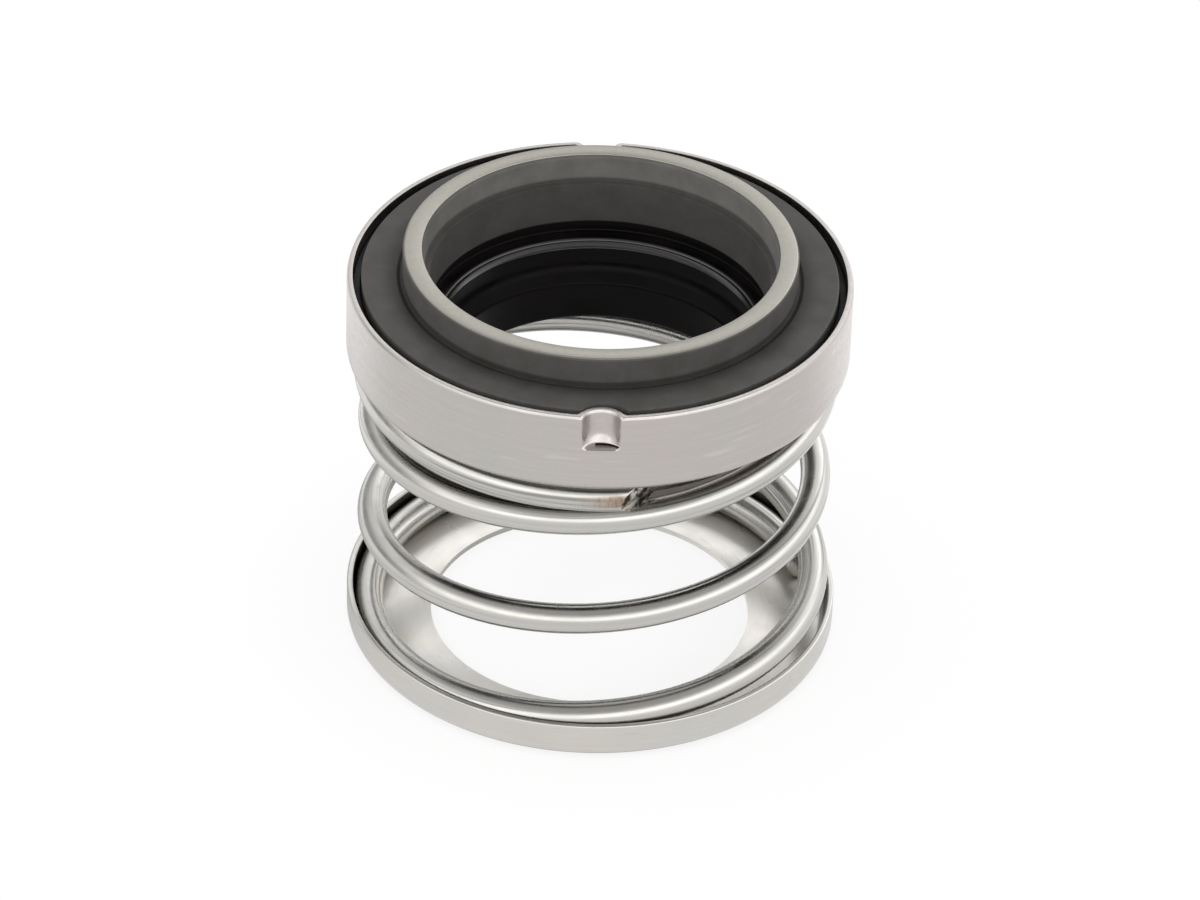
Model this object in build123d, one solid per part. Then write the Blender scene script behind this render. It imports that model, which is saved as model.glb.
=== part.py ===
from build123d import *
import os
from math import cos, degrees, radians, sin, sqrt, tan

# Rotary head of an elastomer-bellows shaft seal, standing on its spring holder.
# Millimetres, +Z up along the shaft axis, origin at the centre of the holder's underside.
# Radii are built outwards from the shaft, heights upwards from the holder.

# ---------------------------------------------------------------- driving dimensions
shaft_diameter = 25.0
sheet = 0.5

# coil spring
wire_diameter = 2.5
spring_free_length = 26.25
total_angle = 1344.0
lower_tip_angle = 15.0
flat_end_angle = 155.0
pitch_rise_angle = 100.0
pitch_fall_angle = 80.0
closed_end_angle = 240.0
closed_end_pitch = 0.4
top_turn_flare = 0.4
path_step_angle = 20.0

# rubber bellows
tail_wall = 2.5
tail_overhang = 0.5
tail_end_round = 0.4
tail_taper = 1.0
fold_wall = 1.2
fold_round = 0.8
lip_height = 0.6
lip_width = 1.4
lip_round = 0.5
lip_drop = 0.85
pad_setback = 0.25
pad_bore_depth = 0.5
pad_thickness = 3.35
sleeve_wall = 0.55
sleeve_recess = 0.5

# drive band
band_height = 3.0
band_below_neck = 1.9
lug_width = 3.0

# pressed shell
neck_depth = 2.45
neck_bend_radius = 0.8
neck_root_radius = 0.3
seat_margin = 0.6
cone_width = 1.3
cone_angle = 27.6
shell_corner_radius = 1.0
rim_round = 0.15
dent_radius = 1.6
dent_depth = 1.2
dent_height = 3.4
dent_lip_radius = 0.55
dent_slit = 0.08

# primary ring
face_width = 1.72
face_bore_step = 0.58
face_bore_depth = 2.55
nose_height = 2.6
ring_body_height = 3.8
face_outer_chamfer = 0.2
face_inner_chamfer = 0.15
nose_foot_radius = 0.35
shoulder_chamfer = 0.3

# spring holder
holder_height = 3.3
holder_corner_radius = 1.2

# ---------------------------------------------------------------- clearances
ring_shaft_clearance = 1.6
holder_shaft_clearance = 1.1
band_neck_gap = 1.2
coil_neck_gap = 0.25
coil_holder_gap = 0.35
coil_seat_gap = 0.02
dent_side_clearance = 0.45
dent_drive_gap = 0.08
dent_floor_clearance = 0.3
dent_end_clearance = 0.1
lug_side_clearance = 0.2
lug_end_clearance = 0.25
lug_tip_setback = 0.1

# ---------------------------------------------------------------- derived radii
shaft_radius = shaft_diameter / 2
wire_radius = wire_diameter / 2
tail_radius = shaft_radius + tail_wall
band_radius = tail_radius + sheet
neck_inner_radius = band_radius + band_neck_gap
neck_radius = neck_inner_radius + sheet
coil_radius = neck_radius + coil_neck_gap + wire_radius
cone_slope = radians(cone_angle)
seat_edge_radius = coil_radius + top_turn_flare + seat_margin
seat_inner_edge_radius = seat_edge_radius - sheet * tan(cone_slope / 2)
shell_radius = seat_edge_radius + cone_width
shell_inner_radius = shell_radius - sheet
ring_radius = shell_inner_radius - sleeve_wall
ring_bore_radius = shaft_radius + ring_shaft_clearance
face_bore_radius = ring_bore_radius + face_bore_step
face_radius = face_bore_radius + face_width
dent_centre_radius = shell_radius - dent_depth + dent_radius
dent_reach_radius = shell_radius - dent_depth - sheet
dent_mouth = 2 * (sqrt(dent_radius ** 2 - (dent_centre_radius - shell_radius) ** 2) + dent_lip_radius)
dent_key = 2 * sqrt((dent_radius + sheet) ** 2 - (dent_centre_radius - ring_radius) ** 2)
slit_width = dent_mouth + 2 * dent_end_clearance
notch_width = dent_key + 2 * dent_side_clearance
notch_floor_radius = dent_reach_radius - dent_floor_clearance
notch_turn = degrees((dent_side_clearance - dent_drive_gap) / ring_radius)
holder_inner_radius = coil_radius + wire_radius + coil_holder_gap
holder_radius = holder_inner_radius + sheet
holder_hole_radius = shaft_radius + holder_shaft_clearance

# ---------------------------------------------------------------- derived heights
seat_height = sheet + spring_free_length
seat_top = seat_height + sheet
outer_corner_height = seat_height + cone_width * tan(cone_slope)
inner_corner_height = seat_height + (cone_width - sheet) * tan(cone_slope) + sheet / cos(cone_slope)
ring_bottom = seat_top + pad_thickness
shoulder_height = ring_bottom + ring_body_height
overall_height = shoulder_height + nose_height
rim_height = shoulder_height
dent_bottom = rim_height - dent_height
neck_bottom = seat_height - neck_depth
band_bottom = neck_bottom - band_below_neck
band_top = band_bottom + band_height
tail_bottom = band_bottom - tail_overhang


def turned_solid(corners):
    """Solid of revolution about Z from (radius, height, rounding) corners of a half section."""
    points = [(radius, 0, height) for radius, height, rounding in corners]
    roundings = [rounding for radius, height, rounding in corners]
    outline = FilletPolyline(*points, radius=roundings, close=True)
    return revolve(make_face(outline), Axis.Z)


def facing_slots(width, floor_radius, bottom):
    """Cutter for two slots at front and back, open outwards and upwards."""
    through = Box(width, 4 * shell_radius, overall_height)
    core = Box(2 * width, 2 * floor_radius, 2 * overall_height)
    return Pos(0, 0, bottom + overall_height / 2) * (through - core)


def seal_face():
    """Primary ring: lapped nose, shoulder, stepped bore, two notches turned against the dents."""
    ring = turned_solid([
        (face_bore_radius + face_inner_chamfer, overall_height, 0),
        (face_radius - face_outer_chamfer, overall_height, 0),
        (face_radius, overall_height - face_outer_chamfer, 0),
        (face_radius, shoulder_height, nose_foot_radius),
        (ring_radius - shoulder_chamfer, shoulder_height, 0),
        (ring_radius, shoulder_height - shoulder_chamfer, 0),
        (ring_radius, ring_bottom, 0),
        (ring_bore_radius + face_outer_chamfer, ring_bottom, 0),
        (ring_bore_radius, ring_bottom + face_outer_chamfer, 0),
        (ring_bore_radius, overall_height - face_bore_depth, 0),
        (face_bore_radius, overall_height - face_bore_depth, 0),
        (face_bore_radius, overall_height - face_inner_chamfer, 0),
    ])
    notches = facing_slots(notch_width, notch_floor_radius, ring_bottom - nose_height)
    return ring - Rot(0, 0, notch_turn) * notches


def plain_shell():
    """Drawn cup without its dents: wall, rounded corner, cone, flat spring seat and neck."""
    shell = turned_solid([
        (shell_radius, rim_height, 0),
        (shell_radius, outer_corner_height, shell_corner_radius),
        (seat_edge_radius, seat_height, 0),
        (neck_radius, seat_height, neck_root_radius),
        (neck_radius, neck_bottom, 0),
        (neck_inner_radius, neck_bottom, 0),
        (neck_inner_radius, seat_top, neck_bend_radius),
        (seat_inner_edge_radius, seat_top, 0),
        (shell_inner_radius, inner_corner_height, shell_corner_radius - sheet),
        (shell_inner_radius, rim_height, 0),
    ])
    return Rot(0, 0, 90) * shell


def fold_corners(section, radius):
    """Corners of the wall section on this radius, beside the two dents."""
    return section.vertices().filter_by(
        lambda corner: abs(Vector(corner.X, corner.Y).length - radius) < sheet / 1000
        and abs(corner.X) < dent_mouth
    )


def dented_wall():
    """Upper wall, its sheet pressed in to a half-round dent at front and back, rim rounded."""
    section = Circle(shell_radius) - Circle(shell_inner_radius)
    for side in (-1, 1):
        centre = Pos(0, side * dent_centre_radius)
        pressed = centre * Circle(dent_radius + sheet) & Circle(shell_radius)
        section = section + pressed - centre * Circle(dent_radius)
    section = fillet(fold_corners(section, shell_radius), dent_lip_radius)
    section = fillet(fold_corners(section, shell_inner_radius), dent_lip_radius - sheet)
    wall = Pos(0, 0, dent_bottom) * extrude(section, dent_height)
    return fillet(wall.faces().sort_by(Axis.Z)[-1].edges(), rim_round)


def drive_shell():
    """Pressed cup: dents slit across their lower ends, lug slots in the neck."""
    upper = Cylinder(2 * shell_radius, 2 * dent_height, align=(Align.CENTER, Align.CENTER, Align.MIN))
    lower = plain_shell() - Pos(0, 0, dent_bottom) * upper
    lower = lower - facing_slots(slit_width, notch_floor_radius, dent_bottom - dent_slit)
    slot_height = sheet + 2 * lug_end_clearance
    slots = Box(4 * neck_radius, lug_width + 2 * lug_side_clearance, slot_height)
    return lower + dented_wall() - Pos(0, 0, neck_bottom + slot_height / 2) * slots


def rubber_bellows():
    """One moulding: sleeve, pad, rounded lip, fold over the neck and gripping tail."""
    lip_top = ring_bottom - lip_drop
    lip_bottom = lip_top - lip_width
    fold_roof = lip_top - fold_wall
    fold_bore_radius = tail_radius - fold_wall
    lip_edge_radius = fold_bore_radius - lip_height
    pad_edge_radius = neck_inner_radius + pad_setback
    pad_bore_radius = ring_bore_radius + pad_bore_depth
    rubber = turned_solid([
        (ring_radius, rim_height - sleeve_recess, 0),
        (shell_inner_radius, rim_height - sleeve_recess, 0),
        (shell_inner_radius, inner_corner_height, shell_corner_radius - sheet),
        (seat_inner_edge_radius, seat_top, 0),
        (pad_edge_radius, seat_top, 0),
        (pad_edge_radius, fold_roof, fold_round),
        (tail_radius, fold_roof, fold_round),
        (tail_radius, tail_bottom, tail_end_round),
        (shaft_radius, tail_bottom, tail_end_round),
        (shaft_radius, band_top, 0),
        (fold_bore_radius, band_top + tail_taper, 0),
        (fold_bore_radius, lip_bottom, 0),
        (lip_edge_radius, lip_bottom, lip_round),
        (lip_edge_radius, lip_top, lip_round),
        (pad_bore_radius, lip_top, 0),
        (pad_bore_radius, ring_bottom, 0),
        (ring_radius, ring_bottom, 0),
    ])
    return rubber - facing_slots(slit_width, notch_floor_radius, dent_bottom - dent_end_clearance)


def drive_band():
    """Band round the tail with two lugs that stand out into the neck's slots."""
    band = Cylinder(band_radius, band_height, align=(Align.CENTER, Align.CENTER, Align.MIN))
    lugs = Box(
        2 * (neck_radius - lug_tip_setback),
        lug_width,
        sheet,
        align=(Align.CENTER, Align.CENTER, Align.MIN),
    )
    solid = Pos(0, 0, band_bottom) * band + Pos(0, 0, neck_bottom + lug_end_clearance) * lugs
    return solid - Pos(0, 0, band_bottom) * Cylinder(tail_radius, 4 * band_height)


def coil_rise(turned, active_slope, closed_slope):
    """Height gained by the wire's centre after turning this many degrees from its lower tip."""
    rise_end = flat_end_angle + pitch_rise_angle
    fall_end = total_angle - closed_end_angle
    fall_start = fall_end - pitch_fall_angle
    rise = 0.0
    if turned > flat_end_angle:
        into = min(turned, rise_end) - flat_end_angle
        rise += active_slope * into ** 2 / (2 * pitch_rise_angle)
    if turned > rise_end:
        rise += active_slope * (min(turned, fall_start) - rise_end)
    if turned > fall_start:
        into = min(turned, fall_end) - fall_start
        rise += active_slope * into
        rise -= (active_slope - closed_slope) * into ** 2 / (2 * pitch_fall_angle)
    if turned > fall_end:
        rise += closed_slope * (turned - fall_end)
    return rise


def coil_flare(turned):
    """Extra radius of the closed upper turn, which springs outwards from the turn below."""
    fall_end = total_angle - closed_end_angle
    share = (turned - fall_end + pitch_fall_angle) / pitch_fall_angle
    share = min(max(share, 0.0), 1.0)
    return top_turn_flare * share ** 2 * (3 - 2 * share)


def coil_spring():
    """Right-hand spring: flat lower end turn, even active pitch, nearly flat upper end turn."""
    lowest = sheet + coil_seat_gap + wire_radius
    highest = seat_height - coil_seat_gap - wire_radius
    closed_slope = closed_end_pitch / 360
    closed_part = coil_rise(total_angle, 0, closed_slope)
    active_slope = (highest - lowest - closed_part) / coil_rise(total_angle, 1, 0)
    steps = round(total_angle / path_step_angle)
    points = []
    for step in range(steps + 1):
        turned = total_angle * step / steps
        angle = radians(lower_tip_angle + turned)
        radius = coil_radius + coil_flare(turned)
        height = lowest + coil_rise(turned, active_slope, closed_slope)
        points.append((radius * cos(angle), radius * sin(angle), height))
    path = Spline(*points)
    section = Plane(origin=path @ 0, z_dir=path % 0) * Circle(wire_radius)
    return sweep(section, path=path, is_frenet=False)


def spring_holder():
    """Shallow dish: flat floor with the shaft hole, rounded corner and upright rim."""
    return turned_solid([
        (holder_hole_radius, 0, 0),
        (holder_radius, 0, holder_corner_radius),
        (holder_radius, holder_height, rim_round),
        (holder_inner_radius, holder_height, rim_round),
        (holder_inner_radius, sheet, holder_corner_radius - sheet),
        (holder_hole_radius, sheet, 0),
    ])


os.makedirs("parts", exist_ok=True)
export_step(spring_holder(), "parts/spring_holder.step")
export_step(coil_spring(), "parts/coil_spring.step")
export_step(drive_shell(), "parts/drive_shell.step")
export_step(drive_band(), "parts/drive_band.step")
export_step(rubber_bellows(), "parts/rubber_bellows.step")
export_step(seal_face(), "parts/seal_face.step")
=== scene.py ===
import math

import bmesh
import bpy
from mathutils import Matrix, Vector
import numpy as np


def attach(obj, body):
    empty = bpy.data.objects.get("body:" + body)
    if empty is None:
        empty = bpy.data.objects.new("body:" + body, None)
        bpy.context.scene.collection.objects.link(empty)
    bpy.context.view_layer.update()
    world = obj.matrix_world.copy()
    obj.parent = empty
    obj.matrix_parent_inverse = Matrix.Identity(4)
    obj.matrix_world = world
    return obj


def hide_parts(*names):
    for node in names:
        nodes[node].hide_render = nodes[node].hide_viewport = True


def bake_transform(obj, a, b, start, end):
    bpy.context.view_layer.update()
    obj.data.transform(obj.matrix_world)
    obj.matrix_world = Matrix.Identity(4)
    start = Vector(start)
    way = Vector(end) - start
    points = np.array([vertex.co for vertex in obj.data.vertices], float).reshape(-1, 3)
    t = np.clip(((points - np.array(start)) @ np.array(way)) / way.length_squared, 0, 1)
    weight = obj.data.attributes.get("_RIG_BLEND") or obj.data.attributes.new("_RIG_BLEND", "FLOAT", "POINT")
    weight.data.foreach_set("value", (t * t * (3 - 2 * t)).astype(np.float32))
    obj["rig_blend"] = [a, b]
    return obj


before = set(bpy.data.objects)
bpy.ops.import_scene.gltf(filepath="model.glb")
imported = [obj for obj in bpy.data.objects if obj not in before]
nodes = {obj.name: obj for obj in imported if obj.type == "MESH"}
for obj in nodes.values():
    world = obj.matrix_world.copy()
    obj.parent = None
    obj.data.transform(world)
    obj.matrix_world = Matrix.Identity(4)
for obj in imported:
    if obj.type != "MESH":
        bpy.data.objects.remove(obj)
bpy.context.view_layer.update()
mm = 0.001
meanRadius = 20 * mm  # of the surfaces that carry turned lines
zoneEdge = 0.1 * mm  # width of the change between two zones of one surface
softStep = {"interpolation_type": "SMOOTHSTEP"}  # a change that eases in and out
print("frame loaded:", sorted(nodes))


def clearSelection():
    if bpy.context.object and bpy.context.object.mode != "OBJECT":
        bpy.ops.object.mode_set(mode="OBJECT")
    bpy.ops.object.select_all(action="DESELECT")


def makeActive(piece):
    clearSelection()
    piece.select_set(True)
    bpy.context.view_layer.objects.active = piece


def linearColour(hexColour):
    channels = [int(hexColour[i:i + 2], 16) / 255 for i in (1, 3, 5)]
    linear = [c / 12.92 if c <= 0.04045 else ((c + 0.055) / 1.055) ** 2.4 for c in channels]
    return (*linear, 1.0)


def addNode(tree, kind, settings=None, values=None, links=None):
    # a socket goes by its name, or by its number where a node has several of one name
    node = tree.nodes.new(kind)
    for name, value in (settings or {}).items():
        setattr(node, name, value)
    for name, value in (values or {}).items():
        node.inputs[name].default_value = value
    for name, source in (links or {}).items():
        tree.links.new(source, node.inputs[name])
    return node


def setStops(ramp, stops):
    # a stop is a place and its colour, either hex or a linear grey level
    elements = ramp.color_ramp.elements
    for i, (place, colour) in enumerate(stops):
        stop = elements[i] if i < 2 else elements.new(place)
        stop.position = place
        stop.color = linearColour(colour) if isinstance(colour, str) else (colour, colour, colour, 1)


def newMaterial(name, metallic=0.0):
    material = bpy.data.materials.new(name)
    material.use_nodes = True
    tree = material.node_tree
    tree.nodes.clear()
    shader = addNode(tree, "ShaderNodeBsdfPrincipled", values={"Metallic": metallic})
    addNode(tree, "ShaderNodeOutputMaterial", links={"Surface": shader.outputs[0]})
    return material, tree, shader


def axisPlace(tree):
    # where a point is: its place, its place seen from above, its height and its distance from the axis
    place = addNode(tree, "ShaderNodeTexCoord").outputs["Object"]
    split = addNode(tree, "ShaderNodeSeparateXYZ", links={0: place})
    flat = addNode(tree, "ShaderNodeCombineXYZ", links={"X": split.outputs[0], "Y": split.outputs[1]})
    radius = addNode(tree, "ShaderNodeVectorMath", {"operation": "LENGTH"}, links={0: flat.outputs[0]})
    return {"place": place, "flat": flat.outputs[0],
            "height": split.outputs[2], "radius": radius.outputs["Value"]}


def turnedCoordinates(tree, spacing, length):
    # lines that run round the axis: spacing apart in radius and height, fading in and out over length
    at = axisPlace(tree)
    heading = addNode(tree, "ShaderNodeVectorMath", {"operation": "NORMALIZE"}, links={0: at["flat"]})
    around = addNode(tree, "ShaderNodeVectorMath", {"operation": "SCALE"},
                     {"Scale": meanRadius / length}, {0: heading.outputs[0]})
    lines = addNode(tree, "ShaderNodeCombineXYZ", links={"X": at["radius"], "Z": at["height"]})
    across = addNode(tree, "ShaderNodeVectorMath", {"operation": "SCALE"},
                     {"Scale": 1 / spacing}, {0: lines.outputs[0]})
    both = addNode(tree, "ShaderNodeVectorMath", {"operation": "ADD"},
                   links={0: around.outputs[0], 1: across.outputs[0]})
    return both.outputs[0]


def unevenGloss(tree, look, pattern):
    # the roughness wanders between two values with a noise pattern
    gloss = addNode(tree, "ShaderNodeMapRange",
                    values={"From Min": 0.3, "From Max": 0.7,
                            "To Min": look["roughness"][0], "To Max": look["roughness"][1]},
                    links={"Value": pattern})
    return gloss.outputs[0]


def makeSheetSteel(name, look, zones=None):
    material, tree, shader = newMaterial(name, metallic=1.0)
    at = axisPlace(tree)
    # broad soft patches left by the press tool and the cleaning bath
    patches = addNode(tree, "ShaderNodeTexNoise", values={"Scale": 1.0, "Detail": 2.0, "Roughness": 0.5},
                      links={"Vector": turnedCoordinates(tree, look["patchHeight"], look["patchWidth"])})
    tone = addNode(tree, "ShaderNodeValToRGB", links={"Fac": patches.outputs[0]})
    setStops(tone, look["tones"])
    # fine polishing lines round the axis, drawn coarser than the real 0.05 mm so that they show
    lines = addNode(tree, "ShaderNodeTexNoise", values={"Scale": 1.0, "Detail": 3.0, "Roughness": 0.6},
                    links={"Vector": turnedCoordinates(tree, look["lineSpacing"], look["lineLength"])})
    shade = addNode(tree, "ShaderNodeMapRange",
                    values={"From Min": 0.3, "From Max": 0.7,
                            "To Min": 1 - look["lineShade"], "To Max": 1 + look["lineShade"]},
                    links={"Value": lines.outputs[0]})
    # a few longer rubbed marks
    marks = addNode(tree, "ShaderNodeTexNoise", values={"Scale": 1.0, "Detail": 1.0},
                    links={"Vector": turnedCoordinates(tree, look["markSpacing"], look["markLength"])})
    rubbed = addNode(tree, "ShaderNodeMapRange",
                     values={"From Min": 0.66, "From Max": 0.74,
                             "To Min": 1.0, "To Max": look["markShade"]},
                     links={"Value": marks.outputs[0]})
    both = addNode(tree, "ShaderNodeMath", {"operation": "MULTIPLY"},
                   links={0: shade.outputs[0], 1: rubbed.outputs[0]})
    colour = addNode(tree, "ShaderNodeVectorMath", {"operation": "SCALE"},
                     links={0: tone.outputs[0], "Scale": both.outputs[0]})
    if zones:
        colour = addNode(tree, "ShaderNodeVectorMath", {"operation": "SCALE"},
                         links={0: colour.outputs[0], "Scale": zones(tree, look, at)})
    tree.links.new(colour.outputs[0], shader.inputs["Base Color"])
    grain = addNode(tree, "ShaderNodeTexNoise", values={"Scale": 1 / look["grain"], "Detail": 3.0},
                    links={"Vector": at["place"]})
    tree.links.new(unevenGloss(tree, look, grain.outputs[0]), shader.inputs["Roughness"])
    drawn = addNode(tree, "ShaderNodeBump", values={"Strength": 1.0, "Distance": look["lineDepth"]},
                    links={"Height": lines.outputs[0]})
    pebbled = addNode(tree, "ShaderNodeBump", values={"Strength": 1.0, "Distance": look["grainDepth"]},
                      links={"Height": grain.outputs[0], "Normal": drawn.outputs[0]})
    tree.links.new(pebbled.outputs[0], shader.inputs["Normal"])
    return material


def paintedRecessShade(tree, look, at):
    # painted shade darkens the recess under the cup, inside its outer corner
    outerFade = addNode(tree, "ShaderNodeMapRange", softStep,
                      {"From Min": look["recessOuterFrom"], "From Max": look["recessOuterTo"],
                       "To Min": look["recessShade"], "To Max": 1.0}, {"Value": at["radius"]})
    # and the painted shade fades out inwards across the seat where the spring sits
    innerFade = addNode(tree, "ShaderNodeMapRange", softStep,
                   {"From Min": look["recessInnerFrom"], "From Max": look["recessInnerTo"],
                    "To Min": 1.0, "To Max": look["recessShade"]}, {"Value": at["radius"]})
    recessLevel = addNode(tree, "ShaderNodeMath", {"operation": "MAXIMUM"},
                    links={0: outerFade.outputs[0], 1: innerFade.outputs[0]})
    above = addNode(tree, "ShaderNodeMapRange",
                    values={"From Min": look["recessBelow"], "From Max": look["recessBelow"] + zoneEdge},
                    links={"Value": at["height"]})
    share = addNode(tree, "ShaderNodeMath", {"operation": "MAXIMUM"},
                    links={0: recessLevel.outputs[0], 1: above.outputs[0]})
    return share.outputs[0]


def paintedTroughShade(tree, look, at):
    # painted shade darkens the corner between floor and wall, and stops short of the rim
    inside = addNode(tree, "ShaderNodeMapRange", softStep,
                     {"From Min": look["troughFrom"], "From Max": look["troughTo"],
                      "To Min": 1.0, "To Max": look["troughShade"]}, {"Value": at["radius"]})
    outside = addNode(tree, "ShaderNodeMapRange",
                      values={"From Min": look["troughEnd"], "From Max": look["troughEnd"] + zoneEdge,
                              "To Min": look["troughShade"], "To Max": 1.0},
                      links={"Value": at["radius"]})
    rim = addNode(tree, "ShaderNodeMapRange",
                  values={"From Min": look["rimFrom"], "From Max": look["rimFrom"] + zoneEdge},
                  links={"Value": at["height"]})
    wall = addNode(tree, "ShaderNodeMath", {"operation": "MAXIMUM"},
                   links={0: outside.outputs[0], 1: rim.outputs[0]})
    withPaintedShade = addNode(tree, "ShaderNodeMath", {"operation": "MAXIMUM"},
                    links={0: inside.outputs[0], 1: wall.outputs[0]})
    # and the floor is painted brighter round the hole, away from the coil: painted light
    nearHole = addNode(tree, "ShaderNodeMapRange", softStep,
                       {"From Min": look["floorFrom"], "From Max": look["floorTo"],
                        "To Min": look["floorLift"], "To Max": 1.0}, {"Value": at["radius"]})
    low = addNode(tree, "ShaderNodeMapRange",
                  values={"From Min": look["floorTop"], "From Max": look["floorTop"] + zoneEdge,
                          "To Min": 1.0, "To Max": 0.0}, links={"Value": at["height"]})
    lift = addNode(tree, "ShaderNodeMix", {"data_type": "FLOAT"}, {2: 1.0},
                   {0: low.outputs[0], 3: nearHole.outputs[0]})
    share = addNode(tree, "ShaderNodeMath", {"operation": "MULTIPLY"},
                    links={0: withPaintedShade.outputs[0], 1: lift.outputs[0]})
    return share.outputs[0]


# 304 stainless sheet, deep drawn and lightly brushed on a lathe: satin, with faint lines round the axis
shellSteel = makeSheetSteel("stainless304DrawnSatin", {
    "tones": ((0.36, "#b8b6b2"), (0.64, "#bcb6b3")),
    "patchHeight": 60 * mm,
    "patchWidth": 7 * mm,
    # painted shade in the recess under the cup: where it fades out, how dark, and the height it stays below
    "recessOuterFrom": 20.3 * mm,
    "recessOuterTo": 20.85 * mm,
    "recessShade": 0.12,
    "recessInnerFrom": 19.3 * mm,
    "recessInnerTo": 20.1 * mm,
    "recessBelow": 27.5 * mm,
    "lineSpacing": 0.22 * mm,
    "lineLength": 9 * mm,
    "lineShade": 0.035,
    "lineDepth": 0.0016 * mm,
    "markSpacing": 0.5 * mm,
    "markLength": 5 * mm,
    "markShade": 1.1,
    "grain": 0.5 * mm,
    "grainDepth": 0.0025 * mm,
    "roughness": (0.26, 0.34),
}, paintedRecessShade)

# 304 stainless sheet, pressed and barrel polished: a little brighter, softly clouded
holderSteel = makeSheetSteel("stainless304PressedBarrelled", {
    "tones": ((0.36, "#c8c7c4"), (0.64, "#cdc9c3")),
    "patchHeight": 9 * mm,
    "patchWidth": 8 * mm,
    "lineSpacing": 0.3 * mm,
    "lineLength": 7 * mm,
    "lineShade": 0.03,
    "lineDepth": 0.0008 * mm,
    "markSpacing": 0.6 * mm,
    "markLength": 4 * mm,
    "markShade": 0.92,
    "grain": 1.6 * mm,
    "grainDepth": 0.0006 * mm,
    "roughness": (0.27, 0.33),
    # painted shade in the trough between floor and wall
    "troughFrom": 19.5 * mm,
    "troughTo": 20.15 * mm,
    "troughEnd": 20.5 * mm,
    "troughShade": 0.36,
    # painted light on the floor round the hole
    "floorFrom": 15.0 * mm,
    "floorTo": 17.6 * mm,
    "floorLift": 1.38,
    "floorTop": 0.9 * mm,
    "rimFrom": 3.15 * mm,
}, paintedTroughShade)

# 304 stainless strip, rolled and blanked: duller, with coarser rolling lines, and its tones painted dark as
#                                          painted shade, since it sits in shadow inside the head
bandSteelPaintedDark = makeSheetSteel("stainless304RolledStrip", {
    # tones painted dark: painted shade
    "tones": ((0.36, "#5f5c59"), (0.64, "#6b6662")),
    "patchHeight": 4 * mm,
    "patchWidth": 6 * mm,
    "lineSpacing": 0.18 * mm,
    "lineLength": 12 * mm,
    "lineShade": 0.06,
    "lineDepth": 0.003 * mm,
    "markSpacing": 0.5 * mm,
    "markLength": 6 * mm,
    "markShade": 0.88,
    "grain": 0.4 * mm,
    "grainDepth": 0.003 * mm,
    "roughness": (0.31, 0.41),
})

wireLook = {
    "length": 442 * mm,
    "girth": 7.85 * mm,
    "tones": ((0.3, "#94928e"), (0.42, "#bab9b6"), (0.66, "#c4c1bb")),
    "dieLine": 0.3 * mm,
    "dieLineLength": 26 * mm,
    "dieLineDepth": 0.004 * mm,
    "heatTones": ((0.35, "#7a6655"), (0.6, "#a99683")),
    "heatStreak": 1.2 * mm,
    "heatStreakLength": 0.25 * mm,
    "heatDulls": 0.25,
    "handling": 1.6 * mm,
    "handlingDepth": 0.006 * mm,
    "roughness": (0.19, 0.29),
    "tornTones": ((0.42, "#2e2822"), (0.58, "#c9c3ba")),
    "tornGrain": 0.9 * mm,
    "tornDepth": 0.06 * mm,
    "tornRoughness": 0.45,
}


def wireCoordinates(tree, spacing, length):
    # the wire's own map: first along it, then round its girth without a seam
    place = addNode(tree, "ShaderNodeTexCoord")
    split = addNode(tree, "ShaderNodeSeparateXYZ", links={0: place.outputs["UV"]})
    turn = addNode(tree, "ShaderNodeMath", {"operation": "MULTIPLY"}, {1: 2 * math.pi},
                   {0: split.outputs[1]})
    sine = addNode(tree, "ShaderNodeMath", {"operation": "SINE"}, links={0: turn.outputs[0]})
    cosine = addNode(tree, "ShaderNodeMath", {"operation": "COSINE"}, links={0: turn.outputs[0]})
    girth = addNode(tree, "ShaderNodeCombineXYZ", links={"Y": sine.outputs[0], "Z": cosine.outputs[0]})
    across = addNode(tree, "ShaderNodeVectorMath", {"operation": "SCALE"},
                     {"Scale": wireLook["girth"] / (2 * math.pi) / spacing}, {0: girth.outputs[0]})
    run = addNode(tree, "ShaderNodeMath", {"operation": "MULTIPLY"}, {1: wireLook["length"] / length},
                  {0: split.outputs[0]})
    along = addNode(tree, "ShaderNodeCombineXYZ", links={"X": run.outputs[0]})
    both = addNode(tree, "ShaderNodeVectorMath", {"operation": "ADD"},
                   links={0: along.outputs[0], 1: across.outputs[0]})
    return both.outputs[0]


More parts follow.
